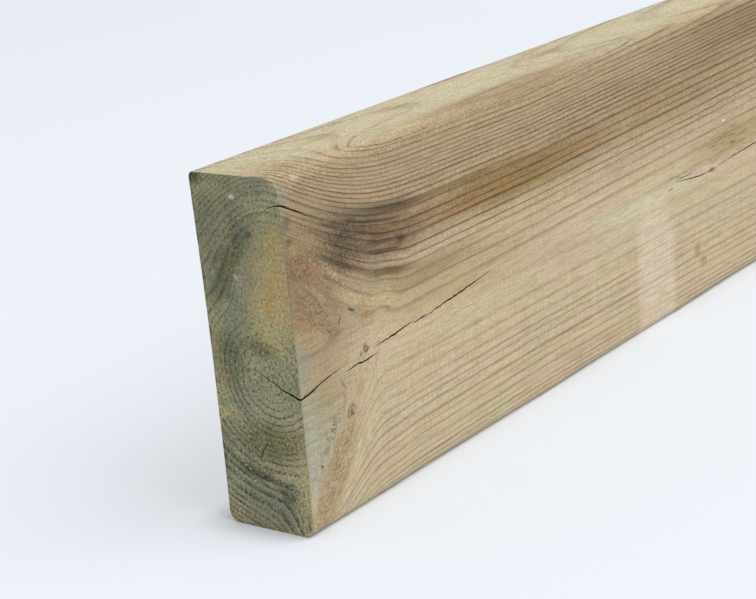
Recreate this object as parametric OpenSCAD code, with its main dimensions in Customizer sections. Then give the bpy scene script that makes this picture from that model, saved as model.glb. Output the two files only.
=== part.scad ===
// Railway sleeper: one sawn length of softwood, standing on its narrow edge.
// The length runs along X, the convex wide face looks to -Y and the part stands on z = 0.
// Drying has cupped the board: both wide faces bow to -Y, and the end at -X has begun to split.

/* [Stock] */
// Length that the sleeper is sold in
sleeper_length = 2400; // [1200:50:3000]
// Height of the sawn section as the sleeper stands on its narrow edge
section_height = 200; // [150:5:260]
// Thickness of the sawn section
section_thickness = 60; // [45:1:130]
// How far the middle of each wide face bows out of flat
cup = 1.4; // [0.6:0.1:4]

/* [Arrises] */
// Radius of the worn arris between the top edge and the front face
top_front_radius = 8; // [3:0.5:12]
// Radius of the arris between the top edge and the back face
top_back_radius = 3; // [2:0.5:12]
// Radius of the worn arris between the bottom edge and the front face
bottom_front_radius = 7; // [3:0.5:12]
// Radius of the arris between the bottom edge and the back face
bottom_back_radius = 6; // [3:0.5:12]

/* [Main split] */
// How far the split runs in from the end along the front face
split_length = 185; // [100:5:400]
// Height at which the split leaves the end on the front face
split_height = 80; // [60:1:95]
// How far the split climbs along the front face
split_climb = 17; // [5:1:25]
// How far the split climbs across the end, from front to back
split_end_climb = 28; // [10:1:35]
// How wide the split gapes at the end
split_gape = 1.8; // [1:0.1:4]
// Sound wood left behind the split at the end
split_ligament = 9; // [6:1:25]

/* [Ring shake] */
// How far below the top edge the shake leaves the end
shake_drop = 15; // [14:0.5:30]
// How far the shake runs in from the end along the front face
shake_length = 34; // [20:1:80]
// How far the shake falls along the front face
shake_fall = 16; // [4:1:30]
// How far the shake reaches into the end behind the front face
shake_depth = 20; // [10:1:30]
// How far the shake falls across the end over that depth
shake_end_fall = 7; // [2:1:12]
// How wide the shake gapes at the end
shake_gape = 1.1; // [0.6:0.1:2]

/* [Surface check] */
// Distance from the end to the start of the surface check
check_start = 378; // [300:2:500]
// Length of the surface check
check_length = 236; // [80:2:300]
// Height of the surface check on the front face
check_height = 90; // [60:1:120]
// How deep the surface check goes
check_depth = 14; // [6:1:25]
// How wide the surface check gapes
check_gape = 1.2; // [0.6:0.1:2.5]

/* [End check] */
// Distance of the end check from the front face
end_check_inset = 28; // [18:1:32]
// Height of the middle of the end check
end_check_height = 49; // [30:1:58]
// Length of the end check across the end
end_check_length = 13; // [6:1:18]
// How wide the end check gapes
end_check_gape = 0.9; // [0.5:0.1:2]
// How deep the end check goes along the length
end_check_depth = 16; // [6:1:40]

/* [Hidden] */

// How far every cut starts outside the wood
cut_overrun = 2;
// Angle at which the end check leans back from upright, radial to the heart
end_check_lean = 24;
timber_colour = [0.76, 0.70, 0.59];

// Both wide faces are arcs of this radius, whose rise over the section's height is the cup
face_radius = (section_height * section_height / 4 + cup * cup) / (2 * cup);
mid_height = section_height / 2;
near_end = -sleeper_length / 2;

// Straight strips that make up the arc of a wide face, and of an arris
face_strips = 16;
arris_strips = 8;

function mix(from, to, share) = from + (to - from) * share;

// How far a wide face lies behind its own middle at a given height
function bow(height) = face_radius - sqrt(face_radius * face_radius - pow(height - mid_height, 2));

// Centres of the two wide faces' arcs, seen from the middle of the front face
front_centre = [face_radius, mid_height];
back_centre = [section_thickness + face_radius, mid_height];

// Angle up or down a wide face at which an arris meets it: the arris touches the convex front
// face from inside the face's arc, and the concave back face from outside it
function front_turn(arris_radius) = asin((mid_height - arris_radius) / (face_radius - arris_radius));
function back_turn(arris_radius) = asin((mid_height - arris_radius) / (face_radius + arris_radius));

function on_circle(centre, radius, angle) = centre + radius * [cos(angle), sin(angle)];

// Points along an arc, with or without the two where it starts and ends
function arc(centre, radius, from, to, strips, ends = true) = [
    for (i = [ends ? 0 : 1 : ends ? strips : strips - 1])
        on_circle(centre, radius, mix(from, to, i / strips))
];

// Stretches of the main split, which steps from one line of the grain to the next
stretch_start_shares = [0, 0.2, 0.34];
stretch_finish_shares = [0.27, 0.41, 1];
stretch_low_shares = [0, 0.24, 0.44];
stretch_high_shares = [0.36, 0.22, 1];
stretch_gape_shares = [1, 0.7, 0.85];
stretch_depth_shares = [1, 0.35, 0.4];

// Crack front, from the mouth's start to its finish: shares of the run and of the depth.
// A crack that opens at the end is deepest there, and any other is deepest near its middle.
open_front_shares = [[0.3, 0.85], [0.65, 0.5], [1, 0]];
closed_front_shares = [[0, 0], [0.12, 0.6], [0.4, 1], [0.75, 0.7], [1, 0]];
// How far along a crack that is closed at both ends it gapes widest
widest_share = 0.4;

function run_and_depth(shares, run, depth) =
    [for (share = shares) [share[0] * run, share[1] * depth]];

// Section seen from the end, from the middle of the front face: u runs to the back and v upwards.
// It goes up the front face, over the top edge, down the back face and under the bottom edge.
function section_outline() =
    let (
        top_front = front_turn(top_front_radius),
        bottom_front = front_turn(bottom_front_radius),
        top_back = back_turn(top_back_radius),
        bottom_back = back_turn(bottom_back_radius)
    )
    concat(
        arc(front_centre, face_radius, 180 + bottom_front, 180 - top_front, face_strips, false),
        arc(on_circle(front_centre, face_radius - top_front_radius, 180 - top_front),
            top_front_radius, 180 - top_front, 90, arris_strips),
        arc(on_circle(back_centre, face_radius + top_back_radius, 180 - top_back),
            top_back_radius, 90, -top_back, arris_strips),
        arc(back_centre, face_radius, 180 - top_back, 180 + bottom_back, face_strips, false),
        arc(on_circle(back_centre, face_radius + bottom_back_radius, 180 + bottom_back),
            bottom_back_radius, bottom_back, -90, arris_strips),
        arc(on_circle(front_centre, face_radius - bottom_front_radius, 180 + bottom_front),
            bottom_front_radius, 270, 180 + bottom_front, arris_strips)
    );

outline = section_outline();
// The outline is set so that the section's box is centred
front_face = -max([for (point = outline) point[0]]) / 2;

module section() {
    translate([front_face, 0]) polygon(outline);
}

// Thin blade of the shape of a crack: x runs along its mouth, y into the wood and z across its gape.
// It narrows along the mouth and into the wood, and the crack front bounds it in plan.
module crack_blade(run, gape, depth, opens_at_end) {
    run_start = opens_at_end ? -cut_overrun : 0;
    widest = opens_at_end ? run_start : run * widest_share;
    mouth_gape = gape * (depth + cut_overrun) / depth;
    front = opens_at_end ? concat([[run_start, depth]], run_and_depth(open_front_shares, run, depth))
                         : run_and_depth(closed_front_shares, run, depth);
    intersection() {
        translate([0, depth, 0]) rotate([90, 0, 0]) linear_extrude(height = depth + cut_overrun) {
            polygon([[run_start, 0], [widest, -gape / 2], [run, 0], [widest, gape / 2]]);
        }
        translate([run_start, 0, 0]) rotate([90, 0, 90]) linear_extrude(height = run - run_start) {
            polygon([[-cut_overrun, -mouth_gape / 2], [depth, 0], [-cut_overrun, mouth_gape / 2]]);
        }
        linear_extrude(height = 2 * mouth_gape, center = true) {
            polygon(concat([[run, -cut_overrun], [run_start, -cut_overrun]], front));
        }
    }
}

// Crack whose mouth lies on the front face from start to finish, each given as the distance from
// the end and the height, and which climbs as it goes deeper
module crack(start, finish, gape, depth, climb, opens_at_end) {
    along = finish - start;
    translate([near_end + start[0], front_face + bow(start[1]), start[1]]) {
        rotate([0, -atan2(along[1], along[0]), 0]) rotate([atan2(climb, depth), 0, 0]) {
            crack_blade(norm(along), gape, norm([depth, climb]), opens_at_end);
        }
    }
}

// Heart split that opens at the end and closes along the front face in stepped stretches
module main_split() {
    for (i = [0 : len(stretch_start_shares) - 1]) {
        crack(
            [split_length * stretch_start_shares[i], split_height + split_climb * stretch_low_shares[i]],
            [split_length * stretch_finish_shares[i], split_height + split_climb * stretch_high_shares[i]],
            split_gape * stretch_gape_shares[i],
            (section_thickness - split_ligament) * stretch_depth_shares[i],
            split_end_climb * stretch_depth_shares[i],
            i == 0
        );
    }
}

// Crack between two growth rings in the top front corner of the end
module ring_shake() {
    shake_height = section_height - shake_drop;
    crack([0, shake_height], [shake_length, shake_height - shake_fall],
          shake_gape, shake_depth, -shake_end_fall, true);
}

// Shallow drying check further along the front face
module surface_check() {
    crack([check_start, check_height], [check_start + check_length, check_height],
          check_gape, check_depth, 0, false);
}

// Short check in the end, radial to the heart
module end_check() {
    half_length = end_check_length / 2;
    half_gape = end_check_gape / 2;
    translate([near_end - cut_overrun, front_face + end_check_inset, end_check_height]) {
        rotate([90, 0, 90]) {
            linear_extrude(height = end_check_depth + cut_overrun) {
                rotate(end_check_lean) {
                    polygon([[-half_gape, 0], [0, -half_length], [half_gape, 0], [0, half_length]]);
                }
            }
        }
    }
}

module sleeper() {
    color(timber_colour) {
        difference() {
            translate([near_end, 0, 0]) {
                rotate([90, 0, 90]) linear_extrude(height = sleeper_length) section();
            }
            main_split();
            ring_shake();
            surface_check();
            end_check();
        }
    }
}

sleeper();
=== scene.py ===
"""Dresses the railway sleeper: split softwood with rings, knots and stains, on a plain studio floor."""
import math
from functools import partial
from typing import NamedTuple

import bmesh
import bpy
from mathutils import Matrix, Vector, noise


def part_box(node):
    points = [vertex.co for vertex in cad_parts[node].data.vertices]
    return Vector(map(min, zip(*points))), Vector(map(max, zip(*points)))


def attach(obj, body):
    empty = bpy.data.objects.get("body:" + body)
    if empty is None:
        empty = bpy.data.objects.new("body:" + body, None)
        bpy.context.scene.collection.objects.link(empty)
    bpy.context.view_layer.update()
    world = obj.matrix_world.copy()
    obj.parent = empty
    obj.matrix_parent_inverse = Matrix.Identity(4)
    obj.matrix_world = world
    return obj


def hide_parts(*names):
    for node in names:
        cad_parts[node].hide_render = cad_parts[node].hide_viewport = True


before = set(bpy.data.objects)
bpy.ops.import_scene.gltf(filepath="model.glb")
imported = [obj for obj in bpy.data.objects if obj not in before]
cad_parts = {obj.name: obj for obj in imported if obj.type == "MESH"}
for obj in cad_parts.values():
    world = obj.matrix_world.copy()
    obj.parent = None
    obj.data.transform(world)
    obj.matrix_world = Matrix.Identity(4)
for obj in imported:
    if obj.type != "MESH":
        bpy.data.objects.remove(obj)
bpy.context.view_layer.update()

bl_info = {
    "name": "Railway Sleeper",
    "version": (1, 0, 0),
    "blender": (4, 5, 0),
    "location": "View3D > Sidebar > Sleeper",
    "description": "Builds a sawn softwood sleeper with drying splits, and the studio that shows it",
    "category": "Object",
}

MM = 0.001
NODE = "sleeper"
BODY = "root"
BAKE_MAP = "OFBake"

LOW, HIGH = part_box(NODE)
LENGTH = HIGH.x - LOW.x
DEPTH = HIGH.y - LOW.y
HEIGHT = HIGH.z - LOW.z

# Kinds of shader node that the materials use, by the last part of their names
COORDINATES = "TexCoord"
MATH = "Math"
VECTOR = "VectorMath"
JOIN = "CombineXYZ"
SPLIT = "SeparateXYZ"
RANGE = "MapRange"
MAPPING = "Mapping"
NOISE = "TexNoise"
WHITE_NOISE = "TexWhiteNoise"
RAMP = "ValToRGB"
MIX = "Mix"
BUMP = "Bump"
SURFACE = "BsdfPrincipled"
OUTPUT = "OutputMaterial"
# Sockets of a Mix node for colours, and settings that many nodes share
FACTOR, FIRST, SECOND = 0, 6, 7
COLOURS = {"output": 2, "data_type": "RGBA"}
SMOOTH = {"interpolation_type": "SMOOTHSTEP"}
TIMES = {"operation": "MULTIPLY"}
TIMES_PLUS = {"operation": "MULTIPLY_ADD"}
MINUS = {"operation": "SUBTRACT"}
OVER = {"operation": "DIVIDE"}
HIGHER = {"operation": "MAXIMUM"}
LOWER = {"operation": "MINIMUM"}
DOT = {"operation": "DOT_PRODUCT", "output": "Value"}
EXTENT = {"operation": "LENGTH", "output": "Value"}
# Middle of a noise pattern's values
NOISE_MIDDLE = 0.5


def linear(code):
    """Turns an sRGB hex colour into Blender's linear colour."""
    shares = [int(code[place:place + 2], 16) / 255 for place in (0, 2, 4)]
    return [s / 12.92 if s <= 0.04045 else ((s + 0.055) / 1.055) ** 2.4 for s in shares] + [1.0]


def add_node(tree, kind, inputs=(), output=0, **settings):
    """Adds a node with its settings and links, and returns one of its outputs, or else the node."""
    made = tree.nodes.new("ShaderNode" + kind)
    for name, value in settings.items():
        setattr(made, name, value)
    for key, value in inputs.items() if isinstance(inputs, dict) else enumerate(inputs):
        if isinstance(value, bpy.types.NodeSocket):
            tree.links.new(value, made.inputs[key])
        else:
            made.inputs[key].default_value = value
    return made.outputs[output] if made.outputs else made


def as_length(name, description, size):
    """Makes a property for a length, whose default is given in millimetres."""
    return bpy.props.FloatProperty(
        name=name, description=description, default=size * MM, min=0, unit="LENGTH")


def as_colour(name, description, code):
    """Makes a property for a colour, whose default is given as sRGB hex."""
    return bpy.props.FloatVectorProperty(
        name=name, description=description, default=linear(code), size=4, subtype="COLOR")


class SleeperSizes(bpy.types.PropertyGroup):
    """Sizes of the sleeper that a user would change."""

    cup: as_length("Cup", "How far the middle of each wide face bows out of flat", 1.4)
    top_front_radius: as_length("Top front arris", "Radius between top edge and front face", 8)
    top_back_radius: as_length("Top back arris", "Radius between top edge and back face", 3)
    bottom_front_radius: as_length("Bottom front arris", "Radius between bottom edge and front face", 7)
    bottom_back_radius: as_length("Bottom back arris", "Radius between bottom edge and back face", 6)
    end_radius: as_length("End arris", "Radius to which handling has worn the arrises of both ends", 0.35)
    hollows: as_length("Hollows", "Depth of the hollows that planing and drying leave in the faces", 0.3)


class SleeperColours(bpy.types.PropertyGroup):
    """Colours of the sleeper and its studio."""

    earlywood: as_colour("Earlywood", "Pale wood that grows in spring", "c2b18f")
    latewood: as_colour("Latewood", "Dark line that ends each growth ring", "84684a")
    knot: as_colour("Knot", "Reddish wood of the branches", "ad9070")
    end_earlywood: as_colour("End earlywood", "Pale wood of a growth ring on the sawn ends", "a39b76")
    end_latewood: as_colour("End latewood", "Dark line of a growth ring on the sawn ends", "3e4438")
    end_green: as_colour("End green", "Wood of the ends that preservative has turned green", "7f836a")
    end_crumbs: as_colour("End crumbs", "Torn cells that the saw has left on the ends", "b8a274")
    # Dark colour inside the splits: partly dusty torn wood, partly painted shade
    split: as_colour("Split wood", "Wood inside the splits", "4a3a2b")
    floor: as_colour("Floor", "Studio floor", "eff4fb")


# Growth of the tree, in millimetres from the split end, from the front face and from the floor
ORIGIN = (-LOW.x / MM, -LOW.y / MM, 0.0)
HEART_START = (0.0, 18.5, 88.0)
HEART_SLOPE = (1.0, -0.012, 0.006)
# Above the heart the tree grew faster towards the back face
HEART_LEAN = 0.18
# The stem is thinnest past the branches of the split end and gets thicker on both sides, up to a limit
THINNEST_AT = 240.0
TAPER_PER_MM = 0.0002
TAPER_REACH = 400.0
# Width of each year's ring, from the heart outwards
RING_WIDTHS = (8, 8.2, 8.3, 6.5, 6, 5.5, 3.6, 5.1, 6.6, 3.5, 4.6, 6.1, 3.8, 3.2, 3, 2.9,
               2.5, 2.5, 2.3, 2.3, 2.3, 2.6, 2.7, 3.2, 3, 1.2, 3.5, 3.5, 3.5, 4, 4)
# The rings sway little at the split end and more along the rest
SWAY_STARTS, SWAY_FULL = 350.0, 750.0
SWAY_LEAST, SWAY_MOST = 0.8, 6.0
# How far the edge of a ring line strays
ROUGH_EDGE = 0.8
# Shares of a ring at which its late wood starts, is darkest and ends
LATE_START, LATE_DARKEST, LATE_END = 0.62, 0.92, 0.94
# In slow years late wood starts sooner. A range reads: from, to, result at the first, result at the second
SLOW_FROM = (66.0, 80.0, 0.0, 0.15)
SLOW_UNTIL = (101.0, 106.0, 1.0, 0.0)
TONE_BY_LUCK = (0.0, 1.0, 0.55, 1.0)
# Years whose rings are wide enough for a false ring
YOUNG_YEARS = 6
# A branch bends rings that are young by less, to this share of their radius
BRANCH_BLEND_SHARE = 0.9
# Behind its root a branch bends the rings over this share of its reach to the sides
BEHIND_SHARE = 0.7
# Radius of a knot at its root, and the shares of its radius over which its edge fades
KNOT_START = 2.0
KNOT_EDGE = (1.15, 0.8, 0.0, 1.0)


class Branch(NamedTuple):
    """Branch that grew from the heart: where it starts, where it points and how far it bends the rings."""

    root: tuple
    tip: tuple
    flare: float
    crotch: float
    side: float
    spread: float
    blend: float = 34.0


NEAR_BRANCHES = (
    Branch(root=(94.6, 18, 84.3), tip=(-2.9, 11.2, 140.5), flare=0.64, crotch=0.8, side=0.59, spread=0.2,
           blend=63.5),
    Branch(root=(77, 18, 96), tip=(20, -20, 40), flare=0.45, crotch=0.32, side=0.7, spread=0.02, blend=52),
)
FAR_BRANCHES = (
    Branch(root=(905, 18, 94), tip=(880, 30, 0), flare=0.30, crotch=0.16, side=0.22, spread=0.13),
    Branch(root=(918, 18, 94), tip=(900, -20, 120), flare=0.34, crotch=0.20, side=0.26, spread=0.15),
    Branch(root=(1480, 18, 97), tip=(1440, 60, 190), flare=0.30, crotch=0.18, side=0.24, spread=0.13),
    Branch(root=(1500, 18, 97), tip=(1480, -10, 60), flare=0.26, crotch=0.16, side=0.20, spread=0.14),
    Branch(root=(2060, 18, 100), tip=(2030, 55, 40), flare=0.30, crotch=0.18, side=0.24, spread=0.14),
)


class Zone(NamedTuple):
    """Soft-edged patch on the wood, and the way in which its colour is mixed in.

    Its middle and reach are in millimetres and its lean in degrees. Its core is the share of the reach
    within which it has its full amount.
    """

    way: str
    centre: tuple
    reach: tuple
    colour: str
    amount: float
    core: float = 0.25
    lean: float = 0.0


tint = partial(Zone, "MULTIPLY")
cover = partial(Zone, "MIX")
# A patch that only fades the ring lines has no colour
fade = partial(Zone, "", colour="")

# Broad stains that follow the grain, at the heights of the straight grain, so that they bend with the rings
GRAIN_ZONES = (
    tint((215, 0, 147), (150, 14, 19), "d6c592", 1.0),
    tint((430, 0, 158), (220, 14, 34), "e2d7be", 0.5),
    tint((150, 0, 105), (140, 14, 22), "e8dfcb", 0.65),
    tint((110, 0, 117), (90, 14, 11), "cccab0", 0.65),
    cover((370, 0, 89), (120, 12, 8), "cbc9b0", 0.5),
    tint((510, 0, 105), (110, 12, 19), "d8c9a2", 0.8, 0.0),
)

# Stain behind the upper knot, as streaks along its rings
STAIN_ZONES = (
    tint((50, 0, 143), (54, 16, 31), "9d9284", 0.95, 0.2),
    tint((88, 0, 147), (52, 12, 24), "b9aa8e", 0.9, 0.3),
)
RING_ZONES = (
    tint((90, 0, 159), (50, 12, 5), "a59c8e", 0.9, 0.2),
    tint((72, 0, 152.6), (44, 12, 1.5), "99948e", 0.9, 0.3),
    tint((85, 0, 135.8), (26, 12, 1.3), "a2957f", 0.9, 0.3),
    tint((40, 0, 126), (48, 16, 4), "a29585", 0.9, 0.2),
    tint((85, 0, 123.6), (34, 12, 4.2), "a69672", 0.95, 0.1),
    tint((150, 0, 158), (70, 12, 2.4), "c0b088", 0.7, 0.3),
)

# Darker upper half of the front, where the wood took up more of the preservative, and the paler top edge
BAND_ZONE = tint((600, -2, 180), (2400, 10, 82), "e0d8d0", 1.0, 0.45)
TOP_ZONE = cover((1200, 36, 204), (6000, 34, 8), "d3cba8", 0.6, 0.6)

# Marks on the faces that lie where they lie, whatever the grain does
PLACE_ZONES = (
    tint((560, -2, 190), (200, 10, 40), "e0d8ca", 0.9, 0.3),
    tint((0, -2, 110), (75, 16, 110), "d4d0c2", 0.9, 0.3),
    tint((444, 0, 37), (7, 10, 9), "e4cfa4", 0.8, 0.1, 20),
    tint((453, 0, 27), (7, 10, 6), "e0c898", 0.8, 0.1),
    cover((6, 0, 58), (22, 14, 44), "a4a894", 0.5, 0.25, -25),
    # Dark heart of the stain behind the upper knot
    tint((46, 0, 150), (17, 14, 24), "b4aaa0", 0.6, 0.0, 20),
    tint((98.5, 0, 141.5), (7.5, 8, 5), "8a7a70", 0.95, 0.1),
    # Upper knot: its grey heart, orange sides, red marks and the pale wood over it
    cover((22, 0, 127), (27, 16, 9), "a8936f", 0.5, 0.4, 42),
    cover((17, 0, 148), (17, 12, 6.5), "a88660", 0.25, 0.1, 38),
    cover((14, 0, 117), (22, 12, 7), "ab8a5c", 0.35, 0.1, 28),
    cover((12, 0, 133.5), (5, 8, 1.1), "94533a", 0.45, 0.1, 6),
    tint((38, 0, 112.5), (4.2, 8, 1.0), "8a7a6c", 0.7, 0.2, -50),
    tint((28, 0, 109), (4.2, 6, 0.7), "7a5c40", 0.8, 0.2, 42),
    cover((37, 0, 138.5), (17, 10, 3.0), "cdb58c", 0.4, 0.2, 42),
    tint((49, 0, 115), (4.2, 5, 1.4), "5c4838", 0.95, 0.3, 34),
    cover((61, 0, 111), (9, 10, 9), "b0945c", 0.4, 0.1),
    cover((76, 0, 115), (19, 12, 6.5), "bdb68c", 0.35, 0.2, 9),
    # Lower knot, cut along its length: a brown band with flecks along its edge
    cover((19, 0, 23), (54, 16, 16), "ae9a76", 0.8, 0.25, -55),
    cover((41, 0, 59.5), (5.5, 8, 5), "8f6238", 0.35, 0.1),
    tint((36.5, 0, 76), (5.5, 6, 1.1), "8a8478", 0.75, 0.2, 50),
    cover((24, 0, 54), (22, 8, 2.4), "93968c", 0.45, 0.2, -50),
    cover((9, 0, 32), (13, 8, 2.0), "93968c", 0.45, 0.2, -65),
    tint((11, 0, 37.5), (1.7, 5, 1.5), "6b6256", 0.85, 0.2),
    tint((4, 0, 33), (3.4, 5, 0.9), "6b675c", 0.75, 0.2, -20),
    # Blue-grey patches where the end's stain has crept round the arris
    cover((3, 0, 97), (9, 14, 18), "8f9684", 0.5, 0.2),
    tint((3, 0, 175), (6, 12, 6), "9a9a96", 0.7, 0.1),
    tint((4, 0, 165), (4.5, 8, 3.6), "8a8684", 0.6, 0.1),
    cover((3, 0, 34), (8, 10, 30), "9aa19a", 0.5, 0.0, -6),
    cover((0, 0, 188), (11, 14, 20), "8d8877", 0.65, 0.1),
    # Small knot, nicks and bruises, and dark marks along the splits
    tint((58, 0, 90), (3.2, 6, 3.0), "928b84", 0.9, 0.5),
    cover((58, 0, 90.3), (1.3, 6, 1.3), "a39a8a", 0.7),
    tint((53.5, 0, 88.5), (1.6, 6, 2.0), "a0937f", 0.8, 0.2),
    # Darker along the lower lip of the main split near the end, and across the gap between two splits at 470
    # mm
    tint((9, 0, 80.9), (5, 5, 0.5), "5a4a3a", 0.8, 0.2, -2),
    tint((470, 0, 89), (9, 6, 2.6), "7c6c4c", 0.85, 0.1),
    cover((490, 0, 120), (4, 4, 1.2), "e6e2d6", 0.8, 0.25, -10),
    cover((16.5, 1, 197), (5.4, 6, 3.2), "e2e2da", 0.75, 0.0),
    # Top edge
    tint((230, 8, 201), (140, 10, 14), "dccac2", 0.6),
    tint((80, 38, 201), (26, 8, 10), "dccab8", 0.55, 0.0),
    tint((158, 41, 201), (24, 9, 10), "dccab8", 0.55, 0.0),
    tint((322, 41, 201), (36, 8, 14), "decabc", 0.8, 0.1),
    tint((14, 18, 202), (38, 28, 14), "ecdaac", 0.35),
)
STICKER_MARK = cover((385, 0, 0), (30, 14, 98), "e0d2bc", 0.42, 0.4)

# Where the ring lines fade: along both knots, at the foot of the end and on the top edge
QUIET_ZONES = (
    fade((19, 0, 23), (54, 16, 15), amount=0.95, core=0.6, lean=-55),
    fade((3, 0, 16), (10, 16, 34), amount=0.95, core=0.5),
    fade((230, 6, 200), (190, 13, 8), amount=0.6, core=0.5),
    fade((18, 0, 158), (32, 14, 22), amount=0.6, core=0.3, lean=32),
    fade((420, 24, 202), (60, 22, 8), amount=0.7, core=0.4),
    fade((400, 10, 202), (70, 9, 6), amount=0.7, core=0.4),
)

# Where the wood is flecked with dark specks, streaked along the two knots, and torn by the planer
SPECK_ZONES = (
    tint((44, 0, 150), (30, 14, 26), "7d7064", 0.6, 0.4, 20),
    tint((14, 0, 148), (18, 12, 10), "7a5c40", 0.55, 0.3, 38),
    tint((20, 0, 120), (24, 12, 12), "8a6c4c", 0.5, 0.4, 36),
    tint((24, 0, 30), (44, 14, 14), "8c7252", 0.4, 0.4, -55),
    tint((41, 0, 59.5), (6, 8, 5.5), "5d412a", 0.8, 0.4),
    tint((61, 0, 110), (12, 10, 11), "8a7040", 0.55, 0.3),
    tint((24, 0, 55), (26, 8, 4), "6f6f68", 0.7, 0.3, -50),
    tint((24, 18, 202), (20, 16, 10), "a07440", 0.45, 0.2),
)
UPPER_KNOT_LEAN = 42.0
UPPER_KNOT_ZONES = (
    cover((17, 0, 147), (22, 12, 11), "9b7048", 0.42, 0.3, 42),
    cover((14, 0, 117), (26, 12, 10), "9b7446", 0.45, 0.3, 30),
    tint((22, 0, 127), (28, 14, 9), "8f8072", 0.5, 0.4, 42),
)
LOWER_KNOT_LEAN = -53.0
LOWER_KNOT_ZONES = (
    cover((20, 0, 25), (50, 14, 15), "957550", 0.6, 0.5, -55),
    cover((50, 0, 38), (34, 10, 6), "d2c39a", 0.6, 0.3, -48),
)
TORN_ZONES = (
    tint((505, 0, 102), (75, 12, 15), "8f8258", 0.6, 0.0, 3),
    tint((430, 0, 95), (34, 12, 6), "857852", 0.7, 0.0, 3),
)
# Faint dashes that the planer left all over
DASH_ZONE = tint((1200, 0, 100), (4000, 400, 400), "a89474", 0.2, 0.9)


class Marks(NamedTuple):
    """Branches and marks of one stretch of the sleeper's long faces."""

    branches: tuple
    grain: tuple
    place: tuple
    stain: tuple = ()
    rings: tuple = ()
    sticker: tuple = ()
    quiet: tuple = ()
    slanted: tuple = ()
    specks: tuple = ()
    torn: tuple = ()


NEAR_MARKS = Marks(
    NEAR_BRANCHES, GRAIN_ZONES, PLACE_ZONES, STAIN_ZONES, RING_ZONES, (STICKER_MARK,), QUIET_ZONES,
    ((UPPER_KNOT_LEAN, UPPER_KNOT_ZONES), (LOWER_KNOT_LEAN, LOWER_KNOT_ZONES)), SPECK_ZONES, TORN_ZONES)
# The photo cuts the far stretch off, so its stains, knots and weathered end are like those of the near one
FAR_MARKS = Marks(
    FAR_BRANCHES,
    grain=(
        tint((1060, 0, 152), (170, 14, 16), "d3c298", 0.6),
        tint((1290, 0, 52), (340, 14, 30), "e2d7ba", 0.6),
        tint((1520, 0, 118), (150, 14, 14), "d0c29a", 0.6),
        tint((1830, 0, 36), (290, 14, 26), "e2d7c0", 0.5),
        tint((2120, 0, 146), (260, 14, 24), "d2c29c", 0.55),
        tint((1150, 61, 128), (230, 14, 26), "d6c9a4", 0.9),
        tint((1420, 61, 62), (260, 14, 22), "d2c6a6", 0.9),
        tint((1900, 61, 130), (240, 14, 24), "d8caa6", 0.9),
    ),
    place=(
        cover((908, 0, 107), (19, 9, 15), "9c7a52", 0.75, 0.4, 20),
        tint((906, 0, 107), (8, 8, 6.5), "a88e72", 0.8, 0.2, 20),
        cover((1487, 0, 73), (17, 9, 14), "9c7a52", 0.75, 0.4, -20),
        tint((1486, 0, 73), (7, 8, 6), "a88e72", 0.8, 0.2, -20),
        cover((2026, 61, 32), (17, 9, 15), "9c7a52", 0.75, 0.4),
        tint((2400, 30, 100), (60, 80, 190), "d0d0c0", 0.9, 0.1),
    ))
# Where the far stretch starts, clear of the marks and branches of both
FAR_FROM = 800.0

# Patches on the split end
END_ZONES = (
    cover((0, 12, 138), (30, 24, 46), "b19d67", 0.9, 0.0, 16),
    cover((0, 12, 120), (30, 26, 18), "ada070", 0.7, 0.0),
    cover((0, 7, 164), (30, 12, 20), "a89560", 0.7, 0.2, 16),
    cover((0, 15, 132), (30, 6, 14), "a5854a", 0.5, 0.0, 10),
    tint((0, 42, 148), (30, 10, 44), "b4bdb2", 0.95, 0.25, 32),
    tint((0, 44, 170), (30, 34, 46), "dedcdc", 0.9),
    tint((0, 48, 98), (30, 18, 26), "c4ccc0", 0.95),
    tint((0, 26, 106), (30, 18, 8), "b9c0b0", 0.85, 0.25, 10),
    cover((0, 17, 86), (30, 20, 16), "a89d6c", 0.2, 0.0),
    tint((0, 26, 52), (30, 36, 18), "bfc0b0", 0.95),
    tint((0, 30, 20), (30, 36, 20), "fcffff", 0.9),
    tint((0, 34, 32), (30, 26, 5.5), "95a098", 0.9, 0.2, 14),
    tint((0, 17, 22), (30, 10, 8), "9ca8a8", 0.85, 0.2, 20),
    cover((0, 3, 30), (30, 9, 36), "aa9f76", 0.7),
    cover((0, 56, 65.5), (30, 14, 5), "b3a36e", 0.7, 0.25, -20),
    tint((0, 60, 199), (30, 12, 9), "767e80", 0.95),
    tint((0, 61, 100), (30, 2.6, 130), "84888a", 0.8, 0.3),
    tint((0, 24, 168), (30, 4, 3.6), "8c968f", 0.75),
    cover((0, 33.5, 188), (30, 3, 2.6), "c9cdc4", 0.6),
    cover((0, 36, 143.5), (30, 2.6, 2.4), "aebdb5", 0.6),
    cover((0, 4, 199), (30, 6, 3), "c6c2b8", 0.6),
)


class Pattern(NamedTuple):
    """Noise with a size in millimetres along each axis, and the range that turns it into a share."""

    size: tuple
    span: tuple
    detail: float = 2.0
    roughness: float = 0.5
    smooth: bool = False


# Sizes in millimetres, along the length, through the thickness and up the height
SWAY_GRAIN = (260, 70, 70)
ROUGH_GRAIN = (16, 1.8, 1.8)
# Uneven edges of patches: sizes of the pattern that shifts them, and how far it does
PATCH_EDGE = ((9, 4, 4), (6, 4, 4))
STREAK_EDGE = ((60, 5, 5), (60, 14, 14))
WISP_EDGE = ((12, 1.5, 1.5), (12, 1.6, 1.6))
END_EDGE = ((10, 10, 10), (6, 10, 10))

# Long faces: what makes the ring lines strong or faint, and how much of them a knot takes away
LINE_BY_AGE = (10.0, 62.0, 0.4, 1.25)
LINE_BY_HEIGHT = (60.0, 140.0, 0.65, 1.05)
LINE_STREAKS = Pattern((140, 4, 4), (0.3, 0.7, 0.5, 1.3))
LINE_IN_KNOT = -0.6
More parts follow.
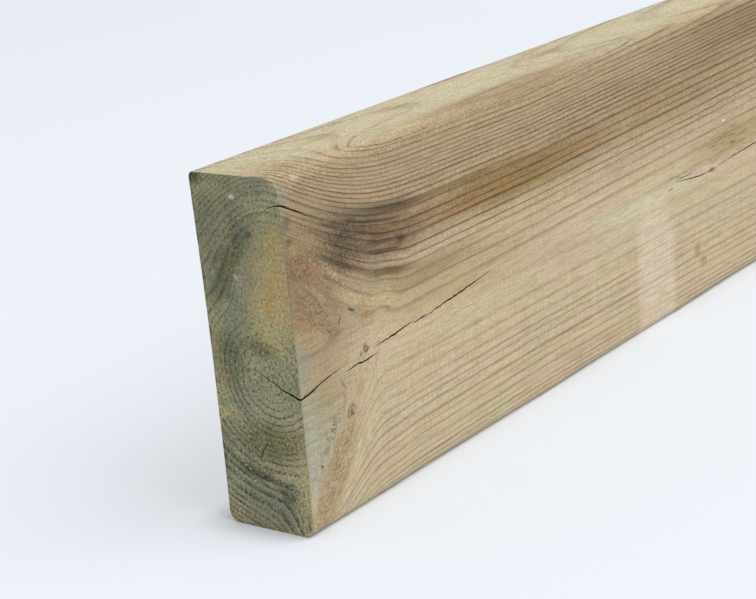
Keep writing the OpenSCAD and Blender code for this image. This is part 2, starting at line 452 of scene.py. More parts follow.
# Their knots, stains, specks and tool marks, and the share by which the hue drifts
KNOT_BLOTCHES = Pattern((12, 12, 12), (0.3, 0.7, 0.2, 0.75), 4.0)
KNOT_FIBRES = Pattern((20, 1.4, 1.4), (0.42, 0.66, 0.0, 1.0), 3.0, smooth=True)
STAIN_STREAKS = Pattern((30, 2, 2), (0.3, 0.6, 0.45, 1.0), 4.0, 0.65)
BAND_DRIFT = Pattern((420, 60, 18), (0.36, 0.6, -0.85, 0.3), 3.0)
SPECKS = Pattern((1.4, 1.4, 1.2), (0.46, 0.66, 0.0, 1.0), 1.0, smooth=True)
DASHES = Pattern((16, 1.5, 1.5), (0.52, 0.66, 0.0, 1.0), 1.0, smooth=True)
HUE_GRAIN, HUE_DRIFT = (140, 8, 10), 0.26
KNIFE_MARKS = Pattern((2.4, 40, 90), (0.25, 0.75, 0.945, 1.05), 1.0)
# A fibre of pine is a few hundredths of a millimetre thick, too fine to show, so bundles of them are drawn
FIBRE_GRAIN, FIBRE_SHADE = (30, 0.8, 0.8), (0.25, 0.75, 0.82, 1.14)
FIBRE_RELIEF = 0.5
NAP_GRAIN = (1.1, 1.1, 1.1)
NAP_BY_HEIGHT = (80.0, 150.0, 0.9, 1.55)
FACE_BUMP = {"Strength": 0.25, "Distance": 0.3 * MM}
FACE_ROUGHNESS = 0.72

# Ends: the same for their rings, which are bands, and then their green ground and torn cells
EARLY_BY_AGE = (44.0, 54.0, 0.5, 0.2)
BAND_DARKEST, BAND_END = 0.9, 0.92
BAND_BY_HEIGHT = (60.0, 150.0, 1.15, 0.65)
BAND_BY_AGE = (26.0, 48.0, 0.78, 1.0)
BAND_BLOTS = Pattern((14, 14, 14), (0.35, 0.65, 0.35, 1.0), 3.0)
BAND_IN_KNOT = -0.7
SOAKING = Pattern((25, 25, 25), (0.35, 0.65, 0.0, 1.0), 3.0)
END_HUE_GRAIN, END_HUE_DRIFT = (6, 6, 6), 0.45
CRUMBS = Pattern((1.7, 1.7, 1.7), (0.56, 0.68, 0.0, 0.5), 1.0, smooth=True)
PIT_GRAIN = (1.6, 1.6, 1.6)
PITS_ON_BAND, PITS_BETWEEN = 3.4, 2.4
ROUGH_BY_HEIGHT = (90.0, 130.0, 1.0, 0.65)
END_BUMP = {"Strength": 0.5, "Distance": 0.4 * MM}
END_ROUGHNESS = 0.85

# Splits
SPLIT_FIBRES = Pattern((16.7, 1.11, 1.11), (0.25, 0.75, 0.6, 1.3), 3.0)
SPLIT_ROUGHNESS = 0.9


class Growth(NamedTuple):
    """Sockets that describe the wood at each point."""

    spot: object
    straight: object
    age: object
    part: object
    late: object
    tone: object
    knot: object


def add_mottle(add, place, size, detail=2.0, roughness=0.5, output=0):
    """Adds noise whose patches have a size in millimetres along each axis."""
    scaled = add(VECTOR, (place, [1 / extent for extent in size]), **TIMES)
    inputs = {"Vector": scaled, "Scale": 1.0, "Detail": detail, "Roughness": roughness}
    return add(NOISE, inputs, output)


def add_share(add, place, pattern):
    """Adds a pattern, turned into a share by its range."""
    mottle = add_mottle(add, place, pattern.size, pattern.detail, pattern.roughness)
    return add(RANGE, (mottle, *pattern.span), **(SMOOTH if pattern.smooth else {}))


def add_hue(add, colour, place, size, amount):
    """Adds a drift of hue to a colour, in patches of a size in millimetres."""
    drift = add_mottle(add, place, size, detail=3.0, roughness=0.6, output="Color")
    centred = add(VECTOR, (drift, (NOISE_MIDDLE,) * 3), **MINUS)
    shade = add(VECTOR, (centred, (amount,) * 3, (1.0,) * 3), **TIMES_PLUS)
    return add(VECTOR, (colour, shade), **TIMES)


def add_branch(add, wavy, branch):
    """Adds the age at which a branch, as it grew thicker, reached each point."""
    root = Vector(branch.root)
    direction = (Vector(branch.tip) - root).normalized()
    stem = Vector((1, 0, 0))
    under = (stem - direction * stem.dot(direction)).normalized()
    beside = direction.cross(under)
    away = add(VECTOR, (wavy, root), **MINUS)
    run = add(VECTOR, (away, direction), **DOT)
    below = add(VECTOR, (away, under), **DOT)
    across = add(VECTOR, (away, beside), **DOT)
    under_side = add(MATH, (below, 0.0), **HIGHER)
    crotch_side = add(MATH, (below, 0.0), **LOWER)
    crotch_age = add(MATH, (crotch_side, branch.crotch), **OVER)
    height_age = add(MATH, (under_side, 1 / branch.flare, crotch_age), **TIMES_PLUS)
    side_age = add(MATH, (across, branch.side), **OVER)
    behind = add(MATH, (run, 0.0), **LOWER)
    behind_age = add(MATH, (behind, branch.side * BEHIND_SHARE), **OVER)
    ages = add(JOIN, (height_age, side_age, behind_age))
    age = add(VECTOR, [ages], **EXTENT)
    # The knot itself is a cone round the branch's own heart
    off_axis = add(JOIN, (below, across, behind))
    distance = add(VECTOR, [off_axis], **EXTENT)
    forward = add(MATH, (run, 0.0), **HIGHER)
    knot_radius = add(MATH, (forward, branch.spread, KNOT_START), **TIMES_PLUS)
    ratio = add(MATH, (distance, knot_radius), **OVER)
    knot = add(RANGE, (ratio, *KNOT_EDGE), **SMOOTH)
    return age, knot


def add_growth(add, branches):
    """Adds the growth of the tree: rings round the heart, bent round the branches."""
    place = add(COORDINATES, output="Object")
    spot = add(VECTOR, (place, (1 / MM,) * 3, ORIGIN), **TIMES_PLUS)
    along = add(SPLIT, [spot], "X")
    sway = add_mottle(add, spot, SWAY_GRAIN, output="Color")
    centred = add(VECTOR, (sway, (NOISE_MIDDLE,) * 3), **MINUS)
    sway_size = add(RANGE, (along, SWAY_STARTS, SWAY_FULL, SWAY_LEAST, SWAY_MOST))
    shift = add(JOIN, (0.0, sway_size, sway_size))
    wavy = add(VECTOR, (centred, shift, spot), **TIMES_PLUS)
    heart = add(VECTOR, (along, HEART_SLOPE, HEART_START), **TIMES_PLUS)
    offset = add(VECTOR, (wavy, heart), **MINUS)
    rise = add(SPLIT, [offset], "Z")
    above = add(MATH, (rise, 0.0), **HIGHER)
    from_heart = add(VECTOR, (above, (0.0, -HEART_LEAN, 0.0), offset), **TIMES_PLUS)
    radius = add(VECTOR, [from_heart], **EXTENT)
    past = add(MATH, (along, THINNEST_AT), **MINUS)
    away = add(MATH, [past], operation="ABSOLUTE")
    tapered = add(MATH, (away, TAPER_REACH), **LOWER)
    thickness = add(MATH, (tapered, TAPER_PER_MM, 1.0), **TIMES_PLUS)
    stem_age = add(MATH, (radius, thickness), **OVER)

    age = stem_age
    knot = 0.0
    young_blend = add(MATH, (stem_age, BRANCH_BLEND_SHARE), **TIMES)
    for branch in branches:
        reached, branch_wood = add_branch(add, wavy, branch)
        blend = add(MATH, (young_blend, branch.blend), **LOWER)
        age = add(MATH, (age, reached, blend), operation="SMOOTH_MIN")
        knot = add(MATH, (knot, branch_wood), **HIGHER)

    # Straight grain: the height at which the same ring lies where no branch bends it
    share = add(MATH, (age, stem_age), **OVER)
    bent = add(VECTOR, {0: offset, "Scale": share}, operation="SCALE")
    straight = add(VECTOR, (heart, bent), operation="ADD")

    # Ring lines are a little rough, and each year's ring has its own width
    rough = add_mottle(add, spot, ROUGH_GRAIN)
    centred = add(MATH, (rough, NOISE_MIDDLE), **MINUS)
    edge = add(MATH, (centred, ROUGH_EDGE, age), **TIMES_PLUS)
    grown = add(MATH, (edge, sum(RING_WIDTHS)), **OVER)
    years = add(RAMP, [grown])
    reach = 0.0
    for year, width in enumerate(RING_WIDTHS[:-1], 1):
        reach += width / sum(RING_WIDTHS)
        years.node.color_ramp.elements.new(reach).color = (*(year / len(RING_WIDTHS),) * 3, 1.0)
    count = add(MATH, (years, len(RING_WIDTHS)), **TIMES)
    part = add(MATH, [count], operation="FRACT")
    number = add(MATH, [count], operation="FLOOR")
    # The narrow rings of slow years are late wood for more of their width
    slow_from = add(RANGE, (age, *SLOW_FROM))
    slow_until = add(RANGE, (age, *SLOW_UNTIL))
    slow = add(MATH, (slow_from, slow_until), **TIMES)
    late_start = add(MATH, (LATE_START, slow), **MINUS)
    darker = add(RANGE, (part, late_start, LATE_DARKEST, 0.0, 1.0), **SMOOTH)
    ended = add(RANGE, (part, LATE_END, 1.0, 1.0, 0.0), **SMOOTH)
    late = add(MATH, (darker, ended), **TIMES)
    luck = add(WHITE_NOISE, {"W": number}, "Value", noise_dimensions="1D")
    tone = add(RANGE, (luck, *TONE_BY_LUCK))
    return Growth(spot, straight, age, part, late, tone, knot)


def add_mask(add, place, zone, turn_axis="Y", square=False):
    """Adds the reach of a soft patch, round or squarish, turned about one axis."""
    # Vector sums, because a material with some 90 Mapping nodes renders black
    away = add(VECTOR, (place, zone.centre), **MINUS)
    if zone.lean:
        turn = Matrix.Rotation(math.radians(zone.lean), 3, turn_axis).transposed()
        shares = [add(VECTOR, (away, row / reach), **DOT) for row, reach in zip(turn, zone.reach)]
        inside = add(JOIN, shares)
    else:
        inside = add(VECTOR, (away, zone.reach), **OVER)
    if square:
        inside = add(VECTOR, (inside, inside), **TIMES)
    far = add(VECTOR, [inside], **EXTENT)
    return add(RANGE, (far, 1.0, zone.core, 0.0, zone.amount), **SMOOTH)


def add_zones(add, colour, place, zones, through=None, turn_axis="Y", square=False):
    """Adds soft patches, round or squarish, that tint or cover a colour through a pattern."""
    for zone in zones:
        mask = add_mask(add, place, zone, turn_axis, square)
        if through is not None:
            mask = add(MATH, (mask, through), **TIMES)
        colour = add(MIX, {FACTOR: mask, FIRST: colour, SECOND: linear(zone.colour)},
                     **COLOURS, blend_type=zone.way)
    return colour


def add_ragged(add, place, grain, shift):
    """Adds uneven edges to the places that patches are measured from."""
    blot = add_mottle(add, place, grain, detail=4.0, roughness=0.6, output="Color")
    centred = add(VECTOR, (blot, (NOISE_MIDDLE,) * 3), **MINUS)
    return add(VECTOR, (centred, shift, place), **TIMES_PLUS)


def new_material(name):
    """Makes an empty node material, and the function that adds a node to it."""
    material = bpy.data.materials.new(name)
    material.use_nodes = True
    material.node_tree.nodes.clear()
    return material, partial(add_node, material.node_tree)


def long_grain(colours, name, marks):
    """Treated pine, planed along the grain."""
    # The eye sees pale early wood between brown late-wood lines, matt and a little fuzzy from the knives,
    # with green and brown streaks where the preservative soaked in
    material, add = new_material(name)
    wood = add_growth(add, marks.branches)
    # Lines are faint near the heart and inside knots, and come and go along the grain
    contrast = add(RANGE, (wood.age, *LINE_BY_AGE), **SMOOTH)
    clear = add(MATH, (wood.knot, LINE_IN_KNOT, 1.0), **TIMES_PLUS)
    patchy = add_share(add, wood.straight, LINE_STREAKS)
    height = add(SPLIT, [wood.spot], "Z")
    upper_half = add(RANGE, (height, *LINE_BY_HEIGHT))
    ragged = add_ragged(add, wood.spot, *PATCH_EDGE)
    faded = [add(MATH, (1.0, add_mask(add, ragged, zone)), **MINUS) for zone in marks.quiet]
    strength = wood.tone
    for share in (contrast, clear, patchy, upper_half, *faded, wood.late):
        strength = add(MATH, (strength, share), **TIMES)
    colour = add(MIX, {FACTOR: strength, FIRST: colours.earlywood, SECOND: colours.latewood}, **COLOURS)
    reddish = add_share(add, wood.spot, KNOT_BLOTCHES)
    knot_share = add(MATH, (wood.knot, reddish), **TIMES)
    colour = add(MIX, {FACTOR: knot_share, FIRST: colour, SECOND: colours.knot}, **COLOURS)
    streaky = add_ragged(add, wood.straight, *STREAK_EDGE)
    colour = add_zones(add, colour, streaky, marks.grain)
    wispy = add_ragged(add, wood.straight, *WISP_EDGE)
    stained = add_share(add, wood.straight, STAIN_STREAKS)
    colour = add_zones(add, colour, streaky, marks.stain, stained)
    colour = add_zones(add, colour, wispy, marks.rings)
    # The upper half's darker band thins out here and there along the far stretch
    along = add(SPLIT, [wood.spot], "X")
    further = add(RANGE, (along, SWAY_STARTS, SWAY_FULL, 0.0, 1.0))
    drifts = add_share(add, wood.spot, BAND_DRIFT)
    banded = add(MATH, (drifts, further, 1.0), **TIMES_PLUS)
    colour = add_zones(add, colour, ragged, [BAND_ZONE], banded)
    colour = add_zones(add, colour, ragged, (TOP_ZONE, *marks.place))
    colour = add_zones(add, colour, ragged, marks.sticker, square=True)
    # Fibres that turn with each knot, dark specks round it, and short dashes where the planer tore the wood
    for lean, zones in marks.slanted:
        slanted = add(MAPPING, {"Vector": ragged, "Rotation": (0.0, math.radians(lean), 0.0)},
                      vector_type="TEXTURE")
        colour = add_zones(add, colour, ragged, zones, add_share(add, slanted, KNOT_FIBRES))
    colour = add_zones(add, colour, ragged, marks.specks, add_share(add, wood.spot, SPECKS))
    dashes = add_share(add, wood.straight, DASHES)
    colour = add_zones(add, colour, ragged, (*marks.torn, DASH_ZONE), dashes)
    # The preservative has soaked in unevenly, so the hue drifts between pink and green along the grain
    colour = add_hue(add, colour, wood.straight, HUE_GRAIN, HUE_DRIFT)
    # Planer knives leave faint marks across the grain
    knife_shade = add_share(add, wood.spot, KNIFE_MARKS)
    fibre = add_mottle(add, wood.straight, FIBRE_GRAIN, detail=3.0, roughness=0.65)
    fibre_shade = add(RANGE, (fibre, *FIBRE_SHADE))
    # The fuzz that planing wet wood leaves is thickest on the upper half of the wide faces
    nap = add_mottle(add, wood.spot, NAP_GRAIN, roughness=0.6)
    fuzzy = add(MATH, (nap, NOISE_MIDDLE), **MINUS)
    upper = add(RANGE, (height, *NAP_BY_HEIGHT))
    nap_shade = add(MATH, (fuzzy, upper, 1.0), **TIMES_PLUS)
    for shade in (knife_shade, fibre_shade, nap_shade):
        colour = add(VECTOR, (colour, shade), **TIMES)
    relief = add(MATH, (fibre, FIBRE_RELIEF, wood.late), **TIMES_PLUS)
    bump = add(BUMP, {**FACE_BUMP, "Height": relief})
    surface = add(SURFACE, {"Base Color": colour, "Roughness": FACE_ROUGHNESS, "Normal": bump}, "BSDF")
    add(OUTPUT, {"Surface": surface})
    return material


def end_grain(colours):
    """Treated pine, sawn across the grain."""
    # Its open cells drink more of the preservative and tear under the saw, so the eye sees a darker, greener
    # and crumbly wood, without gloss
    material, add = new_material("treated_pine_end_grain")
    wood = add_growth(add, NEAR_BRANCHES)
    # The saw has smeared the rings: outer ones are broad bands, those round the heart thin lines
    early_share = add(RANGE, (wood.age, *EARLY_BY_AGE))
    # Each wide ring of the first years holds a false ring, from a dry spell
    twice = add(MATH, (wood.part, 2.0), **TIMES)
    halved = add(MATH, [twice], operation="FRACT")
    grown = add(MATH, (wood.age, sum(RING_WIDTHS[:YOUNG_YEARS])), operation="GREATER_THAN")
    part = add(MIX, {"Factor": grown, "A": halved, "B": wood.part}, data_type="FLOAT")
    darker = add(RANGE, (part, early_share, BAND_DARKEST, 0.0, 1.0), **SMOOTH)
    ended = add(RANGE, (part, BAND_END, 1.0, 1.0, 0.0), **SMOOTH)
    band = add(MATH, (darker, ended), **TIMES)
    patchy = add_share(add, wood.spot, BAND_BLOTS)
    clear = add(MATH, (wood.knot, BAND_IN_KNOT, 1.0), **TIMES_PLUS)
    # Its lower half was cut rougher and shows the rings better
    height = add(SPLIT, [wood.spot], "Z")
    shown = add(RANGE, (height, *BAND_BY_HEIGHT))
    faint_heart = add(RANGE, (wood.age, *BAND_BY_AGE))
    strength = wood.tone
    for share in (patchy, clear, shown, faint_heart, band):
        strength = add(MATH, (strength, share), **TIMES)
    # The preservative has soaked in unevenly, so the ground is greener here and browner there
    soaked = add_share(add, wood.spot, SOAKING)
    ground = add(MIX, {FACTOR: soaked, FIRST: colours.end_earlywood, SECOND: colours.end_green}, **COLOURS)
    colour = add(MIX, {FACTOR: strength, FIRST: ground, SECOND: colours.end_latewood}, **COLOURS)
    ragged = add_ragged(add, wood.spot, *END_EDGE)
    colour = add_zones(add, colour, ragged, END_ZONES, turn_axis="X")
    colour = add_hue(add, colour, wood.spot, END_HUE_GRAIN, END_HUE_DRIFT)
    # Torn cells: light crumbs, dark pits and a general roughness
    crumbs = add_share(add, wood.spot, CRUMBS)
    rougher = add(RANGE, (height, *ROUGH_BY_HEIGHT))
    crumb_share = add(MATH, (crumbs, rougher), **TIMES)
    colour = add(MIX, {FACTOR: crumb_share, FIRST: colour, SECOND: colours.end_crumbs}, **COLOURS)
    pit = add_mottle(add, wood.spot, PIT_GRAIN, detail=3.0, roughness=0.7)
    pitted = add(MATH, (pit, NOISE_MIDDLE), **MINUS)
    along_rings = add(MATH, (band, PITS_ON_BAND, PITS_BETWEEN), **TIMES_PLUS)
    pit_depth = add(MATH, (rougher, along_rings), **TIMES)
    pit_shade = add(MATH, (pitted, pit_depth, 1.0), **TIMES_PLUS)
    colour = add(VECTOR, (colour, pit_shade), **TIMES)
    bump = add(BUMP, {**END_BUMP, "Height": pit})
    surface = add(SURFACE, {"Base Color": colour, "Roughness": END_ROUGHNESS, "Normal": bump}, "BSDF")
    add(OUTPUT, {"Surface": surface})
    return material


def split_wood_and_shade(colours):
    """Torn pine inside the splits, darkened with painted shade."""
    # The eye sees only coarse fibres, dusty and in shade; the colour is partly dusty wood and partly painted
    # shade, so a split reads as a dark line
    material, add = new_material("torn_pine_and_shade")
    place = add(COORDINATES, output="Object")
    spot = add(VECTOR, (place, (1 / MM,) * 3), **TIMES)
    fibres = add_share(add, spot, SPLIT_FIBRES)
    # Painted shade: the split colour is darker than the torn wood alone, so the splits read as dark lines
    colour = add(VECTOR, (colours.split[:3], fibres), **TIMES)
    surface = add(SURFACE, {"Base Color": colour, "Roughness": SPLIT_ROUGHNESS}, "BSDF")
    add(OUTPUT, {"Surface": surface})
    return material


# Cells of the timber's surface along its length, thickness and height, and where their lines lie
CELLS = (310, 24, 84)
LENGTH_SHARES = (0, 0.02, 0.05, 0.6, 0.98, 1)
LENGTH_PLACES = (0, 0.8 * MM, 8 * MM, 560 * MM, LENGTH - 10 * MM, LENGTH)
DEPTH_SHARES = (0, 0.27, 0.77, 1)
HEIGHT_SHARES = (0, 0.09, 0.91, 1)
# How much the arrises' wear varies, over what length, and where its noise is read
WEAR_SHARE, WEAR_LENGTH, WEAR_SEED = 0.25, 90 * MM, (3.1, 7.7)
END_WEAR_SHARE, END_WEAR_LENGTH, END_SEEDS = 0.6, 6 * MM, (5.0, 9.0)
# Sizes of the hollows in the faces, along the length and across it
HOLLOW_LENGTH, HOLLOW_WIDTH = 160 * MM, 50 * MM


class Crack(NamedTuple):
    """Drying crack: its mouth along the front face, its run across the end, its gape and its depth.

    The mouth of one on the end runs up it instead, as heights and distances from the front face.
    """

    mouth: tuple
    end_run: tuple
    gape: float
    depth: float
    on_end: bool = False


CRACKS = (
    Crack(((0, 80.3), (5, 80.8), (10, 82), (20, 84.3), (30, 85.7), (43, 87)),
          ((0, 80.3), (2, 80.5), (8, 82.5), (13, 84.2), (17, 87), (22, 89.3), (26, 91), (30, 93.3),
           (36, 93.3), (40, 94.5), (46, 99), (50, 100.5), (54, 102.5)), 1.7, 54),
    Crack(((38, 82.8), (45, 83.3), (50, 83.9), (55, 83.3), (60, 83.5), (69, 84.5)), (), 1.1, 18),
    Crack(((66, 88.3), (75, 89), (85, 89.5), (96, 91), (105, 91.5)), (), 1.2, 18),
    Crack(((102, 89.9), (110, 91), (118, 91.7)), (), 0.9, 12),
    Crack(((111, 89.8), (118, 90.8), (125, 91.8), (135, 92.8), (147, 93.8), (165, 95.8), (185, 98)),
          (), 1.2, 20),
    Crack(((0, 186), (10, 181), (20, 175.5), (34, 168)),
          ((0, 186), (5, 185.2), (10, 183.3), (15, 180), (19, 176.5)), 1.4, 20),
    Crack(((405, 89.8), (412, 90.2)), (), 0.8, 6),
    Crack(((415, 93.2), (428, 92), (440, 90.5), (452, 89.3), (470, 89)), (), 1.0, 14),
    Crack(((476, 89.6), (490, 90.6), (520, 91.8), (545, 92.8), (580, 93.4), (614, 93.8)), (), 1.0, 14),
    Crack(((39, 34), (46, 31), (50.5, 28), (54, 26)), (), 0.8, 16, True),
    Crack(((160, 19), (164, 22), (169, 27), (174, 31), (179, 36), (182, 39)), (), 0.2, 4, True),
)
CRACK_CELLS = (70, 14)
CUT_OVERRUN = 2 * MM
# Raggedness of a crack's course: length of its waves, and the heights of these and of finer ones
JAG_LENGTH, FINE_JAGS = 4 * MM, 4
JAG_HEIGHT, FINE_JAG_HEIGHT = 0.35 * MM, 0.15 * MM
# Share by which a crack's gape varies, and where its noise is read
GAPE_SHARE, GAPE_WAVES, GAPE_SEED = 0.5, 1.7, Vector((9, 4, 2))
# How quickly a crack narrows away from its middle, and the least gape of one open at the end and of others
NARROWING = 0.6
LEAST_OPEN_GAPE, LEAST_GAPE = 0.22 * MM, 0.02 * MM
WELD_DISTANCE = 0.002 * MM

# Places of the materials on the timber
NEAR_FACES, ENDS, SPLITS, FAR_FACES = range(4)
SHARP_ANGLE = math.radians(40)
# Gaps between the parts of the bake's layout, and the scale of the splits in it
STRIP_GAP, END_GAP, EDGE_GAP = 4 * MM, 6 * MM, 10 * MM
SPLIT_SCALE = 0.9


def make_mesh(bm, name):
    """Turns a bmesh into a mesh."""
    mesh = bpy.data.meshes.new(name)
    bm.to_mesh(mesh)
    bm.free()
    return mesh


def make_object(collection, name, data):
    """Makes an object and puts it into a collection."""
    made = bpy.data.objects.new(name, data)
    collection.objects.link(made)
    return made


def grid_block(cells):
    """Makes a unit block whose faces are cut into a grid."""
    bm = bmesh.new()
    bmesh.ops.create_cube(bm, size=1)
    for axis, count in enumerate(cells):
        if count > 1:
            along = [e for e in bm.edges if abs(e.verts[0].co[axis] - e.verts[1].co[axis]) > 0.5]
            bmesh.ops.subdivide_edges(bm, edges=along, cuts=count - 1, use_grid_fill=True)
    return bm


def between(value, places, results):
    """Reads a result from a line through points."""
    if value <= places[0]:
        return results[0]
    for i in range(1, len(places)):
        if value <= places[i]:
            share = (value - places[i - 1]) / (places[i] - places[i - 1])
            return results[i - 1] + share * (results[i] - results[i - 1])
    return results[-1]


def ease_corner(depth, height, radius):
    """Moves a point in the square corner of a section on to the round of an arris."""
    a = max(0.0, 1 - depth / radius)
    b = max(0.0, 1 - height / radius)
    if a and b:
        depth = radius * (1 - a * math.sqrt(1 - b * b / 2))
        height = radius * (1 - b * math.sqrt(1 - a * a / 2))
    return depth, height


def shape_timber(bm, sizes):
    """Bends the block into the worn, cupped section, with eased ends."""
    thickness = DEPTH - sizes.cup
    depths = (0, sizes.top_front_radius, thickness - sizes.bottom_back_radius, thickness)
    heights = (0, sizes.bottom_front_radius, HEIGHT - sizes.top_front_radius, HEIGHT)
    for vert in bm.verts:
        share = vert.co + Vector((0.5, 0.5, 0.5))
        run = between(share.x, LENGTH_SHARES, LENGTH_PLACES)
        depth = between(share.y, DEPTH_SHARES, depths)
        height = between(share.z, HEIGHT_SHARES, heights)
        wear = 1 + WEAR_SHARE * noise.noise(Vector((run / WEAR_LENGTH, *WEAR_SEED)))
        low, front = height < HEIGHT / 2, depth < thickness / 2
        if low:
            radius = sizes.bottom_front_radius if front else sizes.bottom_back_radius
        else:
            radius = sizes.top_front_radius if front else sizes.top_back_radius
        in_depth = depth if front else thickness - depth
        in_height = height if low else HEIGHT - height
        in_depth, in_height = ease_corner(in_depth, in_height, radius * wear)
        depth = in_depth if front else thickness - in_depth
        height = in_height if low else HEIGHT - in_height
        # The arrises of the ends are worn unevenly
        seed = END_SEEDS[run >= LENGTH / 2]
        around = Vector((depth / END_WEAR_LENGTH, height / END_WEAR_LENGTH, seed))
        ease = sizes.end_radius * (1 + END_WEAR_SHARE * noise.noise(around))
        from_end = min(run, LENGTH - run)
        inset = 0.0
        if from_end < ease:
            inset = ease - math.sqrt(ease ** 2 - (ease - from_end) ** 2)
        # Shallow hollows keep the faces from being dead flat, but the foot stays on the floor
        if height > MM:
            wave = noise.noise(Vector((run / HOLLOW_LENGTH, depth / HOLLOW_WIDTH, height / HOLLOW_WIDTH)))
            inset += sizes.hollows * (0.5 + 0.5 * wave)
        depth = thickness / 2 + (depth - thickness / 2) * (1 - 2 * inset / thickness)
        height = HEIGHT / 2 + (height - HEIGHT / 2) * (1 - 2 * inset / HEIGHT)
        bow = sizes.cup * ((height - HEIGHT / 2) / (HEIGHT / 2)) ** 2
        vert.co = LOW + Vector((run, depth + bow, height))


def crack_cutter(crack):
    """Makes a thin fan that follows a crack from its mouth to its front."""
    bm = bmesh.new()
    bmesh.ops.create_grid(bm, x_segments=CRACK_CELLS[0], y_segments=CRACK_CELLS[1], size=0.5)
    gapes = bm.verts.layers.float.new("gape")
    runs = [p[0] * MM for p in crack.mouth]
    heights = [p[1] * MM for p in crack.mouth]
    end_depths = [p[0] * MM for p in crack.end_run]
    end_heights = [p[1] * MM for p in crack.end_run]
    opens = bool(crack.end_run)
    depth = crack.depth * MM
    first, last = runs[0], runs[-1]
    for vert in bm.verts:
        out = vert.co.x + 0.5
        turn = vert.co.y + 0.5
        if opens:
            angle = turn * math.pi / 2
            run = -CUT_OVERRUN + (last + CUT_OVERRUN) * out * math.cos(angle)
        else:
            angle = turn * math.pi
            run = (first + last) / 2 + (last - first) / 2 * out * math.cos(angle)
        behind = -CUT_OVERRUN + (depth + CUT_OVERRUN) * out * math.sin(angle)
        height = between(run, runs, heights)
        if opens:
            height += between(behind, end_depths, end_heights) - end_heights[0]
        jag = Vector((run / JAG_LENGTH, behind / JAG_LENGTH, crack.gape))
        height += JAG_HEIGHT * noise.noise(jag) + FINE_JAG_HEIGHT * noise.noise(jag * FINE_JAGS)
        narrowing = 1 + turn if opens else NARROWING
        swing = 1 + GAPE_SHARE * noise.noise(jag * GAPE_WAVES + GAPE_SEED)
        gape = crack.gape * MM * (1 - out) ** narrowing * swing
        vert[gapes] = max(gape, LEAST_OPEN_GAPE if opens and out < 1 else LEAST_GAPE)
        low_lip = height - vert[gapes] / 2
        vert.co = LOW + Vector((behind, low_lip, run) if crack.on_end else (run, behind, low_lip))
    bmesh.ops.remove_doubles(bm, verts=bm.verts, dist=WELD_DISTANCE)
    bmesh.ops.triangulate(bm, faces=bm.faces)
    lip = bmesh.ops.extrude_face_region(bm, geom=bm.faces, use_keep_orig=True)
    for vert in lip["geom"]:
        if isinstance(vert, bmesh.types.BMVert):
            vert.co[1 if crack.on_end else 2] += vert[gapes]
    bmesh.ops.recalc_face_normals(bm, faces=bm.faces)
    return make_mesh(bm, "crack")


def map_sides(mesh):
    """Lays the faces out for the bake: four strips for each half of the length, then ends and splits."""
    layer = mesh.uv_layers.new(name=BAKE_MAP)
    half = LENGTH / 2
    scale = 1 / (half + 2 * EDGE_GAP)
    top = HEIGHT + STRIP_GAP
    back = top + DEPTH + STRIP_GAP
    bottom = back + HEIGHT + STRIP_GAP
    tall = bottom + DEPTH + STRIP_GAP
    for face in mesh.polygons:
        n = face.normal
        far_half = face.center.x > 0
        for loop in face.loop_indices:
            co = mesh.vertices[mesh.loops[loop].vertex_index].co - LOW
            if face.material_index == ENDS:
                u = co.z + (HEIGHT + END_GAP) * far_half
                v = 2 * tall + co.y
            elif face.material_index == SPLITS:
                u = 2 * (HEIGHT + END_GAP) + co.x * SPLIT_SCALE
                v = 2 * tall + co.y * SPLIT_SCALE
            else:
                u = co.x - half * far_half + EDGE_GAP
                if abs(n.y) >= abs(n.z):
                    v = co.z if n.y < 0 else back + co.z
                else:
                    v = (top if n.z > 0 else bottom) + co.y
                v += tall * far_half
            layer.uv[loop].vector = (u * scale, v * scale)


class SLEEPER_OT_timber(bpy.types.Operator):
    """Build the sleeper's timber, with its splits and checks"""

    bl_idname = "sleeper.timber"
    bl_label = "Build Timber"

    def execute(self, context):
        sizes = context.scene.sleeper_sizes
        colours = context.scene.sleeper_colours
        materials = (
            long_grain(colours, "treated_pine_long_grain", NEAR_MARKS),
            end_grain(colours),
            split_wood_and_shade(colours),
            long_grain(colours, "treated_pine_far_long_grain", FAR_MARKS),
        )

        bm = grid_block(CELLS)
        for face in bm.faces:
            face.material_index = ENDS if abs(face.normal.x) > 0.5 else NEAR_FACES
        shape_timber(bm, sizes)
        for face in bm.faces:
            if face.material_index == NEAR_FACES and face.calc_center_median().x > LOW.x + FAR_FROM * MM:
                face.material_index = FAR_FACES
        mesh = make_mesh(bm, "sleeper_timber")
        timber = make_object(context.collection, "sleeper_timber", mesh)

        bm = bmesh.new()
        for crack in CRACKS:
            cutter_mesh = crack_cutter(crack)
            bm.from_mesh(cutter_mesh)
            bpy.data.meshes.remove(cutter_mesh)
        for face in bm.faces:
            face.material_index = SPLITS
        cutter_mesh = make_mesh(bm, "cracks")
        cutter = make_object(context.collection, "cracks", cutter_mesh)
        for material in materials:
            mesh.materials.append(material)
            cutter_mesh.materials.append(material)

        cut = timber.modifiers.new("cracks", "BOOLEAN")
        cut.operation = "DIFFERENCE"
        cut.solver = "EXACT"
        cut.object = cutter
        whole = len(mesh.polygons)
        with context.temp_override(object=timber, active_object=timber):
            bpy.ops.object.modifier_apply(modifier=cut.name)
        bpy.data.objects.remove(cutter)
        bpy.data.meshes.remove(cutter_mesh)
        if len(mesh.polygons) <= whole:
            raise RuntimeError("the cracks did not cut the timber")
        mesh.shade_smooth()
        mesh.set_sharp_from_angle(angle=SHARP_ANGLE)
        map_sides(mesh)
        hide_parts(NODE)
        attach(timber, BODY)
        return {"FINISHED"}


FLOOR_SIZE = 80.0
FLOOR_ROUGHNESS, FLOOR_GLOSS = 0.9, 0.1
# Share of the floor that the camera sees as plain colour, so that it stays pale beside the shadow
FLOOR_LIFT = 0.5
